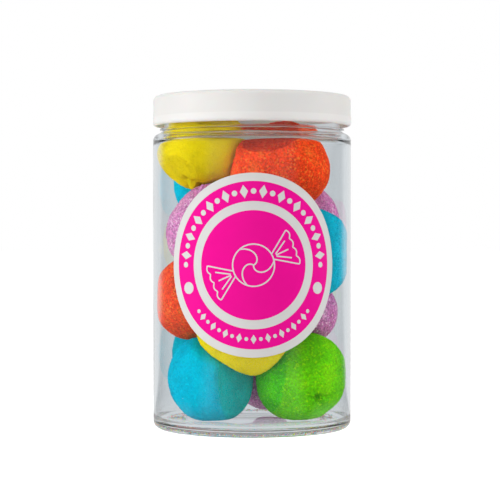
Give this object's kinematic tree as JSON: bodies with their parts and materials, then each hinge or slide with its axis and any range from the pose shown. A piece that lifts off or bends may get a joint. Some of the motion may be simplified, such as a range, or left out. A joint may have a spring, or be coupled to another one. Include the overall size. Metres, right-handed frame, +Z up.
{
  "type": "jar of marshmallows",
  "caption": "Clear plastic screw-lid jar filled with large sugar-coated marshmallow balls in bright colours, with a white lid and a round magenta and white sticker on its wall.",
  "frame": {"origin": "centre of the jar's base, on the surface that it stands on", "axes": "+Z up along the jar's axis, -Y towards the front, where the sticker is"},
  "size_m": [0.0852, 0.0856, 0.1424],
  "materials": {
    "clear_plastic": "clear gloss",
    "white_plastic": "satin white",
    "sticker": "smooth print, magenta and white",
    "yellow_sugar": "fine sugar coat",
    "red_sugar": "fine sugar coat",
    "purple_sugar": "fine sugar coat",
    "blue_sugar": "fine sugar coat",
    "green_sugar": "fine sugar coat"
  },
  "bodies": {
    "root": {"jar": "clear_plastic", "lid": "white_plastic", "label": "sticker", "marshmallow_front_low_left": "blue_sugar", "marshmallow_front_low_right": "green_sugar", "marshmallow_back_low_right": "purple_sugar", "marshmallow_back_low_left": "blue_sugar", "marshmallow_front_centre": "yellow_sugar", "marshmallow_left_middle": "red_sugar", "marshmallow_right_middle": "purple_sugar", "marshmallow_back_middle": "green_sugar", "marshmallow_right_upper": "blue_sugar", "marshmallow_left_upper": "purple_sugar", "marshmallow_back_left_upper": "yellow_sugar", "marshmallow_back_right_upper": "purple_sugar", "marshmallow_back_left_top": "blue_sugar", "marshmallow_front_top_right": "red_sugar", "marshmallow_front_top_left": "yellow_sugar"}
  },
  "joints": []
}
